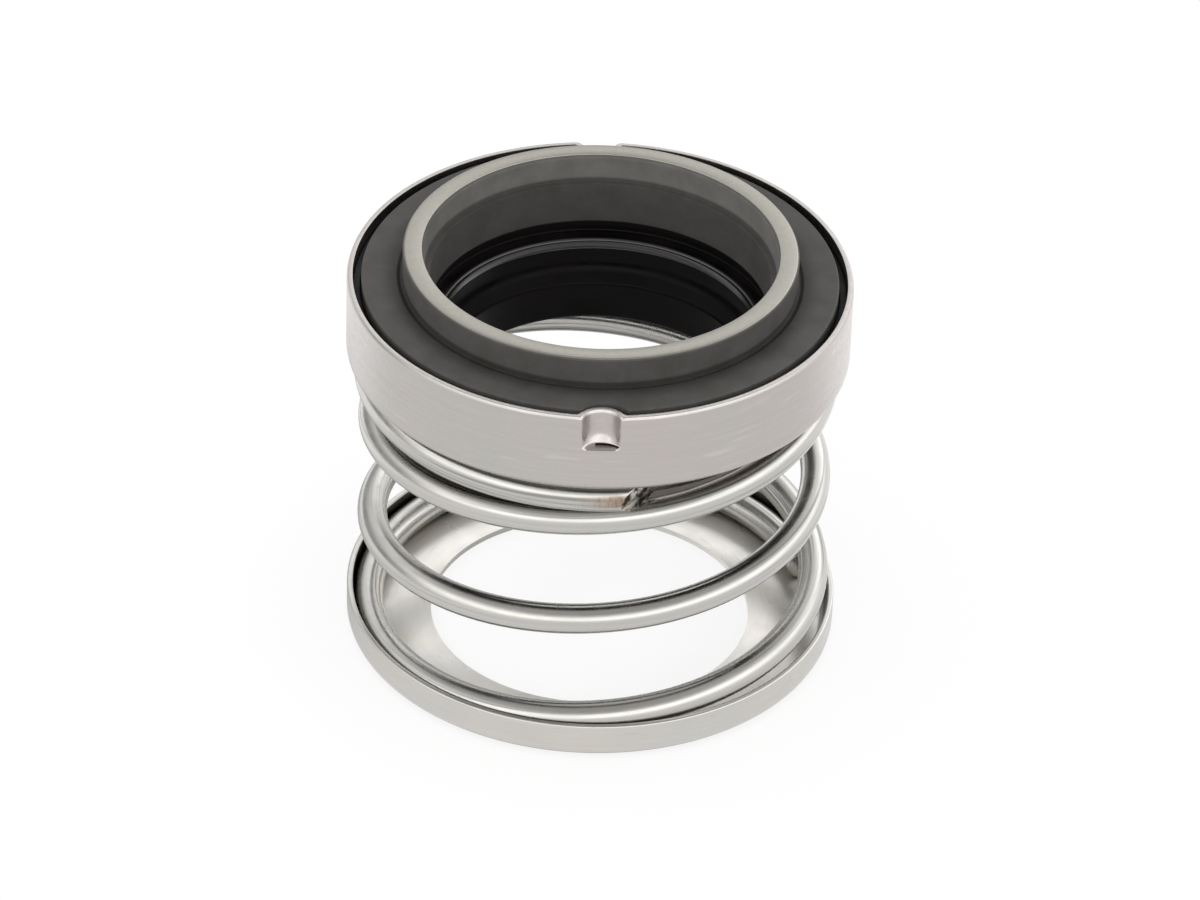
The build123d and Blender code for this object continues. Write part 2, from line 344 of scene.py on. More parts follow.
def makeSpringWire():
    look = wireLook
    material, tree, shader = newMaterial("stainless302BrightDrawnWire", metallic=1.0)
    place = addNode(tree, "ShaderNodeTexCoord")
    # lines from the die, drawn coarser than real ones so that they show
    lines = addNode(tree, "ShaderNodeTexNoise", values={"Scale": 1.0, "Detail": 2.0, "Roughness": 0.55},
                    links={"Vector": wireCoordinates(tree, look["dieLine"], look["dieLineLength"])})
    tone = addNode(tree, "ShaderNodeValToRGB", links={"Fac": lines.outputs[0]})
    setStops(tone, look["tones"])
    # straw and brown colours where the upper end was cut hot
    heat = addNode(tree, "ShaderNodeAttribute", {"attribute_name": "heatTint"})
    along = wireCoordinates(tree, look["heatStreak"], look["heatStreakLength"])
    streaks = addNode(tree, "ShaderNodeTexNoise", values={"Scale": 1.0, "Detail": 3.0, "Roughness": 0.7},
                      links={"Vector": along})
    oxide = addNode(tree, "ShaderNodeValToRGB", links={"Fac": streaks.outputs[0]})
    setStops(oxide, look["heatTones"])
    colour = addNode(tree, "ShaderNodeMix", {"data_type": "RGBA"},
                     links={"Factor": heat.outputs["Fac"], 6: tone.outputs[0], 7: oxide.outputs[0]})
    tree.links.new(colour.outputs[2], shader.inputs["Base Color"])
    handling = addNode(tree, "ShaderNodeTexNoise", values={"Scale": 1 / look["handling"], "Detail": 2.0},
                       links={"Vector": place.outputs["Object"]})
    dulled = addNode(tree, "ShaderNodeMath", {"operation": "MULTIPLY_ADD"}, {1: look["heatDulls"]},
                     {0: heat.outputs["Fac"], 2: unevenGloss(tree, look, handling.outputs[0])})
    tree.links.new(dulled.outputs[0], shader.inputs["Roughness"])
    drawn = addNode(tree, "ShaderNodeBump", values={"Strength": 1.0, "Distance": look["dieLineDepth"]},
                    links={"Height": lines.outputs[0]})
    soft = addNode(tree, "ShaderNodeBump", values={"Strength": 1.0, "Distance": look["handlingDepth"]},
                   links={"Height": handling.outputs[0], "Normal": drawn.outputs[0]})
    tree.links.new(soft.outputs[0], shader.inputs["Normal"])
    return material


def makeWireEnd():
    look = wireLook
    material, tree, shader = newMaterial("stainless302ShearedEnd", metallic=1.0)
    place = addNode(tree, "ShaderNodeTexCoord")
    torn = addNode(tree, "ShaderNodeTexNoise",
                   values={"Scale": 1 / look["tornGrain"], "Detail": 3.0, "Roughness": 0.65},
                   links={"Vector": place.outputs["Object"]})
    tone = addNode(tree, "ShaderNodeValToRGB", links={"Fac": torn.outputs[0]})
    setStops(tone, look["tornTones"])
    tree.links.new(tone.outputs[0], shader.inputs["Base Color"])
    shader.inputs["Roughness"].default_value = look["tornRoughness"]
    bump = addNode(tree, "ShaderNodeBump", values={"Strength": 1.0, "Distance": look["tornDepth"]},
                   links={"Height": torn.outputs[0]})
    tree.links.new(bump.outputs[0], shader.inputs["Normal"])
    return material


# 302 stainless spring wire, drawn through a die: bright, with lines along the wire
springWire = makeSpringWire()
# the same wire sheared off: a torn grey face with coarse bumps
wireEnd = makeWireEnd()

ringLook = {
    "tones": ((0.35, "#504f4c"), (0.65, "#595755")),
    "mottle": 2.2 * mm,
    "grain": 0.22 * mm,
    "grainDepth": 0.01 * mm,
    "roughness": 0.42,
    "specular": 0.1,
    "lappedTones": ((0.35, "#a19f98"), (0.65, "#aaa69d")),
    "lapScratch": 0.35 * mm,
    "lappedRoughness": 0.34,
    "lapped": (36.9 * mm, 36.97 * mm),
    "boreRadius": (14.7 * mm, 14.8 * mm),
    "boreLift": 1.7,
    # painted shade at the foot of the nose
    "footRadius": (16.35 * mm, 18.6 * mm),
    "footHeight": (34.4 * mm, 35.0 * mm),
    "footShade": 0.45,
}


def makeFaceRing():
    look = ringLook
    material, tree, shader = newMaterial("siliconCarbideGroundAndLapped")
    shader.inputs["Specular IOR Level"].default_value = look["specular"]
    at = axisPlace(tree)
    mottle = addNode(tree, "ShaderNodeTexNoise",
                     values={"Scale": 1 / look["mottle"], "Detail": 4.0, "Roughness": 0.6},
                     links={"Vector": at["place"]})
    ground = addNode(tree, "ShaderNodeValToRGB", links={"Fac": mottle.outputs[0]})
    setStops(ground, look["tones"])
    # painted shade darkens the corner at the foot of the nose and thins outwards
    outward = addNode(tree, "ShaderNodeMapRange", softStep,
                      {"From Min": look["footRadius"][0], "From Max": look["footRadius"][1],
                       "To Min": look["footShade"], "To Max": 1.0}, {"Value": at["radius"]})
    upward = addNode(tree, "ShaderNodeMapRange", softStep,
                     {"From Min": look["footHeight"][0], "From Max": look["footHeight"][1]},
                     {"Value": at["height"]})
    footShadeLevel = addNode(tree, "ShaderNodeMath", {"operation": "MAXIMUM"},
                   links={0: outward.outputs[0], 1: upward.outputs[0]})
    # the bore's colour is lifted, paler than the rest
    bore = addNode(tree, "ShaderNodeMapRange",
                   values={"From Min": look["boreRadius"][0], "From Max": look["boreRadius"][1],
                           "To Min": look["boreLift"], "To Max": 1.0}, links={"Value": at["radius"]})
    share = addNode(tree, "ShaderNodeMath", {"operation": "MULTIPLY"},
                    links={0: footShadeLevel.outputs[0], 1: bore.outputs[0]})
    withPaintedShade = addNode(tree, "ShaderNodeVectorMath", {"operation": "SCALE"},
                    links={0: ground.outputs[0], "Scale": share.outputs[0]})
    # the lapped annulus on top: scratches in every direction, drawn coarse enough to show
    lapped = addNode(tree, "ShaderNodeMapRange",
                     values={"From Min": look["lapped"][0], "From Max": look["lapped"][1]},
                     links={"Value": at["height"]})
    scratches = addNode(tree, "ShaderNodeTexNoise",
                        values={"Scale": 1 / look["lapScratch"], "Detail": 4.0, "Roughness": 0.7},
                        links={"Vector": at["place"]})
    bright = addNode(tree, "ShaderNodeValToRGB", links={"Fac": scratches.outputs[0]})
    setStops(bright, look["lappedTones"])
    colour = addNode(tree, "ShaderNodeMix", {"data_type": "RGBA"},
                     links={"Factor": lapped.outputs[0], 6: withPaintedShade.outputs[0], 7: bright.outputs[0]})
    tree.links.new(colour.outputs[2], shader.inputs["Base Color"])
    tree.links.new(lapped.outputs[0], shader.inputs["Metallic"])
    gloss = addNode(tree, "ShaderNodeMapRange",
                    values={"To Min": look["roughness"], "To Max": look["lappedRoughness"]},
                    links={"Value": lapped.outputs[0]})
    tree.links.new(gloss.outputs[0], shader.inputs["Roughness"])
    grain = addNode(tree, "ShaderNodeTexNoise", values={"Scale": 1 / look["grain"], "Detail": 2.0},
                    links={"Vector": at["place"]})
    bump = addNode(tree, "ShaderNodeBump", values={"Strength": 0.6, "Distance": look["grainDepth"]},
                   links={"Height": grain.outputs[0]})
    tree.links.new(bump.outputs[0], shader.inputs["Normal"])
    return material


# sintered silicon carbide, ground all over and lapped on the nose: mottled dark grey,
# with a pale and silky face
faceRing = makeFaceRing()

rubberLook = {
    "tones": ((0.35, "#070505"), (0.68, "#0f0b0b")),
    "bloom": 3.0 * mm,
    "grain": 0.3 * mm,
    "grainDepth": 0.008 * mm,
    "roughness": (0.3, 0.5),
    "specular": 0.1,
}

lipLook = {
    # a shade paler than the rest of the rubber: a painted highlight
    "tones": ((0.35, "#0c0a0a"), (0.68, "#181514")),
    "bloom": 3.0 * mm,
    "grain": 0.3 * mm,
    "grainDepth": 0.002 * mm,
    "roughness": (0.16, 0.24),
    "specular": 0.75,
}


def makeRubber(name, look):
    material, tree, shader = newMaterial(name)
    shader.inputs["IOR"].default_value = 1.52  # nitrile rubber
    shader.inputs["Specular IOR Level"].default_value = look["specular"]
    place = addNode(tree, "ShaderNodeTexCoord")
    bloom = addNode(tree, "ShaderNodeTexNoise", values={"Scale": 1 / look["bloom"], "Detail": 4.0},
                    links={"Vector": place.outputs["Object"]})
    tone = addNode(tree, "ShaderNodeValToRGB", links={"Fac": bloom.outputs[0]})
    setStops(tone, look["tones"])
    tree.links.new(tone.outputs[0], shader.inputs["Base Color"])
    tree.links.new(unevenGloss(tree, look, bloom.outputs[0]), shader.inputs["Roughness"])
    grain = addNode(tree, "ShaderNodeTexNoise", values={"Scale": 1 / look["grain"], "Detail": 2.0},
                    links={"Vector": place.outputs["Object"]})
    bump = addNode(tree, "ShaderNodeBump", values={"Strength": 0.5, "Distance": look["grainDepth"]},
                   links={"Height": grain.outputs[0]})
    tree.links.new(bump.outputs[0], shader.inputs["Normal"])
    return material


# nitrile rubber, compression moulded: near black, smooth, with a faint waxy bloom
rubber = makeRubber("nitrileRubberMoulded", rubberLook)
# its sealing lip is moulded against a polished core: the same black with a real crisp shine, and its tones
# painted a shade paler as a painted highlight
rubberLip = makeRubber("nitrileRubberPolishedLip", lipLook)
print("materials made")

# angles are in degrees, turned up the coil from its lower tip
springSize = {
    "wireRadius": 1.25 * mm,
    "girthSteps": 16,
    "coilRadius": 18.7 * mm,
    "lowestCentre": 1.77 * mm,
    "highestCentre": 25.48 * mm,
    "lowerTipAngle": 15.0,
    "totalAngle": 1344.0,
    "flatEndAngle": 155.0,
    "pitchRiseAngle": 100.0,
    "pitchFallAngle": 80.0,
    "closedEndAngle": 240.0,
    "closedPitch": 0.4 * mm,
    "topTurnFlare": 0.4 * mm,
    "footTurnFlare": 0.25 * mm,
    "footTurnEnds": (330.0, 480.0),
    "stepAngle": 3.0,
    "liftCentre": 950.0,
    "liftSpan": 100.0,
    "lift": 0.18 * mm,
    "endAllowance": 10.0,
    "cutTurned": 1345.5,
    "cutLean": 46.0,
    "cutRise": 34.0,
    "cutFacing": 0.7,
    "cutReach": 4,  # in wire radii, as the next one
    "cutFloor": 0.4,
    "endRound": 0.08 * mm,
    "endCorners": 8,  # a face with more corners closes an end
    "tornAbove": 12.0 * mm,
    "tintLength": 19.0,
    "tintFade": 7.0,
    "tintLow": (-22.0, -8.0),
    "tintHigh": (28.0, 40.0),
    "smoothAngle": 50,
    "stillBelow": 1.8 * mm,
    "ridesAbove": 24.4 * mm,
}


def smoothShare(value, start, end):
    share = min(max((value - start) / (end - start), 0.0), 1.0)
    return share * share * (3 - 2 * share)


def coilRise(turned, activeSlope, closedSlope):
    # height gained after so many degrees: flat, rising, steady, easing off, closed
    s = springSize
    riseEnd = s["flatEndAngle"] + s["pitchRiseAngle"]
    fallEnd = s["totalAngle"] - s["closedEndAngle"]
    fallStart = fallEnd - s["pitchFallAngle"]
    rise = 0.0
    if turned > s["flatEndAngle"]:
        into = min(turned, riseEnd) - s["flatEndAngle"]
        rise += activeSlope * into ** 2 / (2 * s["pitchRiseAngle"])
    if turned > riseEnd:
        rise += activeSlope * (min(turned, fallStart) - riseEnd)
    if turned > fallStart:
        into = min(turned, fallEnd) - fallStart
        rise += activeSlope * into
        rise -= (activeSlope - closedSlope) * into ** 2 / (2 * s["pitchFallAngle"])
    if turned > fallEnd:
        rise += closedSlope * (turned - fallEnd)
    return rise


def coilPath():
    s = springSize
    closedSlope = s["closedPitch"] / 360
    height = s["highestCentre"] - s["lowestCentre"]
    activeSlope = (height - coilRise(s["totalAngle"], 0, closedSlope)) / coilRise(s["totalAngle"], 1, 0)
    fallEnd = s["totalAngle"] - s["closedEndAngle"]
    fullAngle = s["totalAngle"] + s["endAllowance"]
    steps = round(fullAngle / s["stepAngle"])
    path = []
    for i in range(steps + 1):
        turned = fullAngle * i / steps
        angle = math.radians(s["lowerTipAngle"] + turned)
        flare = s["topTurnFlare"] * smoothShare(turned, fallEnd - s["pitchFallAngle"], fallEnd)
        flare += s["footTurnFlare"] * (1 - smoothShare(turned, *s["footTurnEnds"]))
        radius = s["coilRadius"] + flare
        z = s["lowestCentre"] + coilRise(min(turned, s["totalAngle"]), activeSlope, closedSlope)
        # wound a touch high here
        z += s["lift"] * (1 - smoothShare(abs(turned - s["liftCentre"]), 0, s["liftSpan"]))
        path.append(Vector((radius * math.cos(angle), radius * math.sin(angle), z)))
    return path


def selectWhere(edgeTest=None, faceTest=None):
    # edit mode: choose edges or faces by their place
    bpy.ops.mesh.select_all(action="DESELECT")
    mesh = bmesh.from_edit_mesh(bpy.context.object.data)
    for edge in mesh.edges if edgeTest else []:
        if edgeTest(edge):
            edge.select_set(True)
    for face in mesh.faces if faceTest else []:
        if faceTest(face):
            face.select_set(True)
    bmesh.update_edit_mesh(bpy.context.object.data)


def markSections(wire, path):
    # height of each wire section's centre, and the heat tint beside the upper tip
    s = springSize
    mesh = wire.data
    perRing = len(mesh.vertices) // len(path)
    centres = mesh.attributes.new("sectionHeight", "FLOAT", "POINT").data
    tint = mesh.attributes.new("heatTint", "FLOAT", "POINT").data
    for i, vertex in enumerate(mesh.vertices):
        ring = i // perRing
        centre = path[ring]
        out = math.hypot(vertex.co.x, vertex.co.y) - math.hypot(centre.x, centre.y)
        tilt = math.degrees(math.atan2(vertex.co.z - centre.z, out))
        fromTip = (len(path) - 1 - ring) * s["stepAngle"]
        along = 1 - smoothShare(fromTip, s["tintLength"] - s["tintFade"], s["tintLength"] + s["tintFade"])
        across = smoothShare(tilt, *s["tintLow"]) * (1 - smoothShare(tilt, *s["tintHigh"]))
        centres[i].value = centre.z
        tint[i].value = along * across


def cutTip(wire, path):
    # the upper end is sheared at a slant: its inner upper side stands furthest forward
    s = springSize
    tip = path[round(s["cutTurned"] / (s["totalAngle"] + s["endAllowance"]) * (len(path) - 1))]
    along = Vector((-tip.y, tip.x, 0)).normalized()
    out = Vector((tip.x, tip.y, 0)).normalized()
    lean, rise = math.radians(s["cutLean"]), math.radians(s["cutRise"])
    up = Vector((0, 0, 1)) * math.cos(rise) - out * math.sin(rise)
    face = Vector((0, 0, 1)) * math.sin(rise) + out * math.cos(rise)
    normal = (along * math.cos(lean) - up * math.sin(lean) + face * s["cutFacing"]).normalized()
    bpy.ops.object.mode_set(mode="EDIT")
    near = s["cutReach"] * s["wireRadius"]
    mesh = bmesh.from_edit_mesh(wire.data)
    height = mesh.verts.layers.float["sectionHeight"]
    lowest = tip.z - s["cutFloor"] * s["wireRadius"]  # the turn below stays whole
    selectWhere(faceTest=lambda f: (f.calc_center_median() - tip).length < near
                and all(v[height] > lowest for v in f.verts))
    bpy.ops.mesh.bisect(plane_co=tip, plane_no=normal, use_fill=True, clear_outer=True)
    bpy.ops.object.mode_set(mode="OBJECT")


def buildSpring(path):
    s = springSize
    clearSelection()
    bpy.ops.curve.primitive_nurbs_path_add()
    wire = bpy.context.object
    wire.name = "coilSpring"
    curve = wire.data
    curve.splines.clear()
    curve.dimensions = "3D"
    curve.twist_mode = "Z_UP"
    curve.bevel_depth = s["wireRadius"]
    curve.bevel_resolution = s["girthSteps"]
    spline = curve.splines.new("POLY")
    spline.points.add(len(path) - 1)
    for point, place in zip(spline.points, path):
        point.co = (*place, 1)
    bpy.ops.object.convert(target="MESH")
    wire = bpy.context.object
    markSections(wire, path)
    cutTip(wire, path)
    bpy.ops.object.mode_set(mode="EDIT")
    selectWhere(edgeTest=lambda e: e.is_boundary)
    bpy.ops.mesh.edge_face_add()
    mesh = bmesh.from_edit_mesh(wire.data)
    for face in mesh.faces:
        isEnd = len(face.verts) > s["endCorners"]
        face.smooth = not isEnd
        # only the upper end is torn, the lower one is clean
        face.material_index = int(isEnd and face.calc_center_median().z > s["tornAbove"])
    bmesh.update_edit_mesh(wire.data)
    selectWhere(faceTest=lambda f: len(f.verts) > s["endCorners"])
    bpy.ops.mesh.region_to_loop()
    bpy.ops.mesh.bevel(offset=s["endRound"], segments=2, affect="EDGES")
    bpy.ops.object.mode_set(mode="OBJECT")
    bpy.ops.object.shade_smooth_by_angle(angle=math.radians(s["smoothAngle"]))
    print("spring", len(wire.data.vertices), [u.name for u in wire.data.uv_layers])
    return wire


coilSpring = buildSpring(coilPath())
coilSpring.data.materials.append(springWire)
coilSpring.data.materials.append(wireEnd)
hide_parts("coil_spring")
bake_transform(coilSpring, "holder", "head",
         start=(0, 0, springSize["stillBelow"]), end=(0, 0, springSize["ridesAbove"]))


def keepWireRound(wire):
    # each section of the wire moves as one, by the height of its centre
    s = springSize
    centres = wire.data.attributes["sectionHeight"].data
    weights = wire.data.attributes["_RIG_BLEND"].data
    for centre, weight in zip(centres, weights):
        share = (centre.value - s["stillBelow"]) / (s["ridesAbove"] - s["stillBelow"])
        weight.value = min(max(share, 0.0), 1.0)


keepWireRound(coilSpring)


def crowdSides(share):
    # edit mode: crowd the sides towards front and back, where the dents need them
    mesh = bmesh.from_edit_mesh(bpy.context.object.data)
    for vertex in mesh.verts:
        angle = math.atan2(vertex.co.y, vertex.co.x)
        radius = math.hypot(vertex.co.x, vertex.co.y)
        angle += share * math.sin(2 * angle) / 2
        vertex.co.x, vertex.co.y = radius * math.cos(angle), radius * math.sin(angle)
    bmesh.update_edit_mesh(bpy.context.object.data)


def turnPiece(name, profile, sides, crowding=0.0, roundSteps=4):
    # the profile goes once round the section, in millimetres
    clearSelection()
    bpy.ops.mesh.primitive_circle_add(vertices=sides, radius=profile[0][0] * mm,
                                      location=(0, 0, profile[0][1] * mm))
    piece = bpy.context.object
    piece.name = name
    bpy.ops.object.transform_apply(location=True)
    bpy.ops.object.mode_set(mode="EDIT")
    crowdSides(crowding)
    bpy.ops.mesh.select_all(action="SELECT")
    for before, after in zip(profile, profile[1:] + profile[:1]):
        rise = (after[1] - before[1]) * mm
        share = after[0] / before[0]
        bpy.ops.mesh.extrude_edges_move(TRANSFORM_OT_translate={"value": (0, 0, rise)})
        bpy.ops.transform.resize(value=(share, share, 1), center_override=(0, 0, 0))
    bpy.ops.mesh.select_all(action="SELECT")
    bpy.ops.mesh.remove_doubles(threshold=0.001 * mm)
    bpy.ops.mesh.normals_make_consistent(inside=False)
    near = 0.005 * mm
    for radius, height, width in profile:
        if not width:
            continue

        def onCorner(edge):
            return all(abs(math.hypot(v.co.x, v.co.y) - radius * mm) < near
                       and abs(v.co.z - height * mm) < near for v in edge.verts)

        selectWhere(edgeTest=onCorner)
        bpy.ops.mesh.bevel(offset=width * mm, segments=roundSteps, affect="EDGES", clamp_overlap=True)
    bpy.ops.object.mode_set(mode="OBJECT")
    return piece


def cutWith(piece, cutter):
    makeActive(piece)
    modifier = piece.modifiers.new("cut", "BOOLEAN")
    modifier.operation = "DIFFERENCE"
    modifier.object = cutter
    bpy.ops.object.modifier_apply(modifier="cut")
    bpy.data.objects.remove(cutter)


def addBlock(centre, size):
    clearSelection()
    bpy.ops.mesh.primitive_cube_add(size=1, location=centre, scale=size)
    block = bpy.context.object
    bpy.ops.object.transform_apply(location=True, rotation=True, scale=True)
    return block


def smoothPiece(piece, angle):
    # flats stay flat and only the corner bands turn the light
    makeActive(piece)
    bpy.ops.object.shade_smooth_by_angle(angle=math.radians(angle))
    modifier = piece.modifiers.new("normals", "WEIGHTED_NORMAL")
    modifier.weight = 100
    modifier.keep_sharp = True
    bpy.ops.object.modifier_apply(modifier="normals")


def reportPiece(piece):
    mesh = bmesh.new()
    mesh.from_mesh(piece.data)
    print(piece.name, len(piece.data.polygons), "faces,", sum(not e.is_manifold for e in mesh.edges),
          "open,", round(mesh.calc_volume(signed=True) / mm ** 3, 1), "mm3")
    mesh.free()


bellowsSize = {
    "profile": [  # radius, height, corner width
        (19.8, 33.3, 0.12), (20.5, 33.3, 0.12), (20.5, 27.73, 0.3), (19.58, 27.25, 0.05),
        (16.95, 27.25, 0.15), (16.95, 28.55, 0.7), (15.0, 28.55, 0.7), (15.0, 21.9, 0.4),
        (12.5, 21.9, 0.4), (12.5, 25.4, 0.2), (13.8, 26.4, 0.6), (13.8, 28.35, 0.3),
        (13.2, 28.35, 0.5), (13.2, 29.5, 0.3), (14.6, 29.5, 0.2), (14.6, 30.6, 0), (19.8, 30.6, 0),
    ],
    "sides": 240,
    "roundSteps": 5,
    "slotWidth": 4.4 * mm,
    "slotDepth": 4 * mm,
    "slotHeight": 10 * mm,
    "slotFrom": 18.9 * mm,
    "slotBottom": 30.9 * mm,
    "smoothAngle": 40,
    "lipRadius": 14.0 * mm,
    "lipFrom": 28.4 * mm,
}


def buildBellows():
    s = bellowsSize
    bellows = turnPiece("rubberBellows", s["profile"], s["sides"], roundSteps=s["roundSteps"])
    bellows.data.materials.append(rubber)
    bellows.data.materials.append(rubberLip)
    for side in (-1, 1):
        centre = (0, side * (s["slotFrom"] + s["slotDepth"] / 2), s["slotBottom"] + s["slotHeight"] / 2)
        cutWith(bellows, addBlock(centre, (s["slotWidth"], s["slotDepth"], s["slotHeight"])))
    smoothPiece(bellows, s["smoothAngle"])
    for face in bellows.data.polygons:
        centre = face.center
        if math.hypot(centre.x, centre.y) < s["lipRadius"] and centre.z > s["lipFrom"]:
            face.material_index = 1
    reportPiece(bellows)
    return bellows


rubberBellows = buildBellows()
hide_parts("rubber_bellows")
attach(rubberBellows, "head")

shellSize = {
    "wall": (21.0, 20.5),  # outer and inner radius: plain lengths are in millimetres
    "rim": 34.4,
    "rimRound": 0.04,
    "rimSlope": (0.13, 0.25),
    "rows": (34.0, 33.6, 33.3, 32.95, 32.6, 32.45, 32.3, 32.2, 32.1, 32.0, 31.92, 31.85, 31.77, 31.7,
             31.62, 31.55, 31.45, 31.35, 31.25, 31.15, 30.95, 30.3, 29.4, 28.3),
    "foot": [
        (21.0, 27.43, 0.61), (19.7, 26.75, 0.12), (17.2, 26.75, 0.3), (17.2, 24.3, 0.06),
        (16.7, 24.3, 0.06), (16.7, 27.25, 0.8), (19.58, 27.25, 0.05), (20.5, 27.73, 0.3),
    ],
    "sides": 480,
    "crowding": 0.7,
    "dentCentre": 21.4,
    "dentRadius": 1.62,
    "dentReach": 3,
    "dentBottom": 31.25,
    # height, and share of the full depth there
    "dentFoot": ((31.25, 0.0), (31.55, 0.6), (31.7, 0.68), (31.85, 0.76), (32.0, 0.84), (32.2, 0.92),
                 (32.45, 0.98), (32.75, 1.0)),
    "slit": (1.9 * mm, 31.43 * mm, 31.54 * mm),  # width, bottom, top
    "slitAside": 0.5 * mm,
    "splitWithin": 2.5 * mm,
    "splitHeights": (31.05 * mm, 31.85 * mm),
    "lipBlur": 0.17,
    "lugSlot": (3.4 * mm, 1.0 * mm),  # width, height
    "neckShare": 0.8,  # middle of the neck's wall, of the outer radius
    "neckBottom": 24.3 * mm,
    "cutterDepth": 3 * mm,
    "smoothAngle": 50,
}


def dentDepth(x, z, wall, radius):
    # depth of a half-round dent with a rounded foot, in millimetres; its lips are blurred round
    s = shellSize
    depth = 0.0
    samples = [i / 4 for i in range(-4, 5)]
    for step in samples:
        aside = abs(x) + step * s["lipBlur"]
        if abs(aside) < radius:
            hollow = math.sqrt(radius ** 2 - aside ** 2) - s["dentCentre"]
            hollow += math.sqrt(wall ** 2 - aside ** 2)
            depth += max(hollow, 0.0) / len(samples)
    foot = s["dentFoot"]
    for (low, lowShare), (high, highShare) in zip(foot, foot[1:]):
        if z < high:
            return depth * (lowShare + (highShare - lowShare) * (z - low) / (high - low))
    return depth


def pressDents(shell):
    s = shellSize
    outer, inner = s["wall"]
    for vertex in shell.data.vertices:
        x, y, z = vertex.co / mm
        radius = math.hypot(x, y)
        if radius < inner - 0.01 or z < s["dentBottom"] or abs(x) > s["dentReach"]:
            continue
        share = min(max((radius - inner) / (outer - inner), 0.0), 1.0)
        depth = dentDepth(x, z, outer, s["dentRadius"]) * share
        depth += dentDepth(x, z, inner, s["dentRadius"] + outer - inner) * (1 - share)
        vertex.co.y -= math.copysign(depth * mm, y)


def splitFacets(shell):
    # bent quads round the slits become flat triangles, so that the cut leaves no slivers
    s = shellSize
    low, high = s["splitHeights"]
    makeActive(shell)
    bpy.ops.object.mode_set(mode="EDIT")
    selectWhere(faceTest=lambda f: abs(f.calc_center_median().x) < s["splitWithin"]
                and low < f.calc_center_median().z < high)
    bpy.ops.mesh.quads_convert_to_tris()
    bpy.ops.object.mode_set(mode="OBJECT")


def buildShell():
    s = shellSize
    outer, inner = s["wall"]
    slopeIn, slopeDown = s["rimSlope"]
    profile = [(outer - slopeIn, s["rim"], s["rimRound"]), (outer, s["rim"] - slopeDown, s["rimRound"])]
    profile += [(outer, z, 0) for z in s["rows"]] + s["foot"]
    profile += [(inner, z, 0) for z in reversed(s["rows"])] + [(inner, s["rim"], s["rimRound"])]
    shell = turnPiece("driveShell", profile, s["sides"], s["crowding"])
    width, height = s["lugSlot"]
    for side in (-1, 1):
        centre = (side * outer * s["neckShare"] * mm, 0, s["neckBottom"])
        cutWith(shell, addBlock(centre, (s["cutterDepth"], width, 2 * height)))
    pressDents(shell)
    splitFacets(shell)
    slitWidth, slitLow, slitHigh = s["slit"]
    for side in (-1, 1):
        centre = (-side * s["slitAside"], side * outer * mm, (slitLow + slitHigh) / 2)
        cutWith(shell, addBlock(centre, (slitWidth, s["cutterDepth"], slitHigh - slitLow)))
    smoothPiece(shell, s["smoothAngle"])
    reportPiece(shell)
    return shell


driveShell = buildShell()
driveShell.data.materials.append(shellSteel)
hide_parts("drive_shell")
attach(driveShell, "head")

ringSize = {
    "profile": [  # radius, height, corner width
        (14.82, 37.0, 0.03), (16.22, 37.0, 0.05), (16.4, 36.82, 0.05), (16.4, 34.26, 0.04),
        (16.62, 34.26, 0.06), (16.86, 34.4, 0.06), (19.7, 34.4, 0.05), (19.8, 34.3, 0.03),
        (19.8, 30.6, 0.1), (14.3, 30.6, 0.05), (14.1, 30.8, 0.05), (14.1, 34.45, 0.05),
        (14.6, 34.45, 0.04), (14.66, 36.62, 0.06),
    ],
    "sides": 400,
    "roundSteps": 2,
    "notchRadius": 2.5 * mm,
    "notchSides": 96,
    "notchCentre": 21.4 * mm,
    "notchAside": 0.33 * mm,
    "notchBottom": 28.0 * mm,
    "notchHeight": 20 * mm,
    "smoothAngle": 50,
}


def buildFaceRing():
    s = ringSize
    ring = turnPiece("sealFace", s["profile"], s["sides"], roundSteps=s["roundSteps"])
    for side in (-1, 1):
        clearSelection()
        middle = s["notchBottom"] + s["notchHeight"] / 2
        place = (-side * s["notchAside"], side * s["notchCentre"], middle)
        bpy.ops.mesh.primitive_cylinder_add(vertices=s["notchSides"], radius=s["notchRadius"],
                                            depth=s["notchHeight"], location=place)
        cutter = bpy.context.object
        bpy.ops.object.transform_apply(location=True)
        cutWith(ring, cutter)
    smoothPiece(ring, s["smoothAngle"])
    reportPiece(ring)
    return ring


sealFace = buildFaceRing()
sealFace.data.materials.append(faceRing)
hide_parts("seal_face")
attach(sealFace, "head")

finishes = {"spring_holder": holderSteel, "drive_band": bandSteelPaintedDark}
for name, material in finishes.items():
    node = nodes[name]
    node.data.materials.clear()
    node.data.materials.append(material)
print("pieces finished")

cameraSize = {
    "distance": 540 * mm,
    "target": 20 * mm,
    "elevation": 34.35,
    "azimuth": -1.35,
    "roll": 1.9,
    "pixelsPerMm": 11.9,
    "targetPixel": (595.7, 419.0),
    "framePixels": (1200, 900),
    "sensorWidth": 36,
    "clipStart": 10 * mm,
}


def placeCamera():
    c = cameraSize
    data = bpy.data.cameras.new("camera")
    camera = bpy.data.objects.new("camera", data)
    bpy.context.scene.collection.objects.link(camera)
    width, height = c["framePixels"]
    data.sensor_width = c["sensorWidth"]
    data.lens = c["pixelsPerMm"] * c["distance"] / mm / width * data.sensor_width
    data.shift_x = (width / 2 - c["targetPixel"][0]) / width
    data.shift_y = (c["targetPixel"][1] - height / 2) / width
    data.clip_start = c["clipStart"]
    tilt = math.radians(c["elevation"])
    place = Vector((0, -c["distance"] * math.cos(tilt), c["target"] + c["distance"] * math.sin(tilt)))
    turn = Matrix.Rotation(math.pi / 2 - tilt, 4, "X") @ Matrix.Rotation(math.radians(c["roll"]), 4, "Z")
    aside = Matrix.Rotation(math.radians(c["azimuth"]), 4, "Z")
    camera.matrix_world = aside @ Matrix.Translation(place) @ turn
    bpy.context.scene.camera = camera


placeCamera()

scene = bpy.context.scene
scene.view_settings.view_transform = "Standard"

